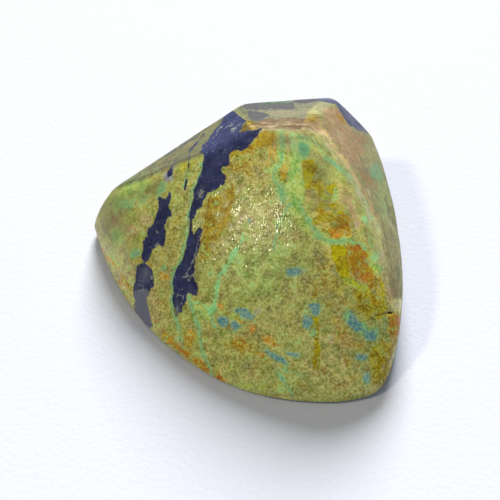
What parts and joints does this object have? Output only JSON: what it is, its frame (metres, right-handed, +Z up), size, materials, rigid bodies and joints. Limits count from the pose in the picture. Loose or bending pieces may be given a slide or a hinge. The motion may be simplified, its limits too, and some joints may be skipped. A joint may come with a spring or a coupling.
{
  "type": "brochantite specimen",
  "caption": "Small stone nugget ground and tumbled to broad rounded facets, with a domed front and a flat underside to rest on.",
  "frame": {"origin": "bottom centre of the stone's box, on the surface that it lies on", "axes": "+Z up, -Y towards the domed front, +X towards its steep right side"},
  "size_m": [0.023, 0.0234, 0.0113],
  "materials": {
    "stone": "satin, tumbled and half polished"
  },
  "bodies": {
    "root": {"stone": "stone"}
  },
  "joints": []
}
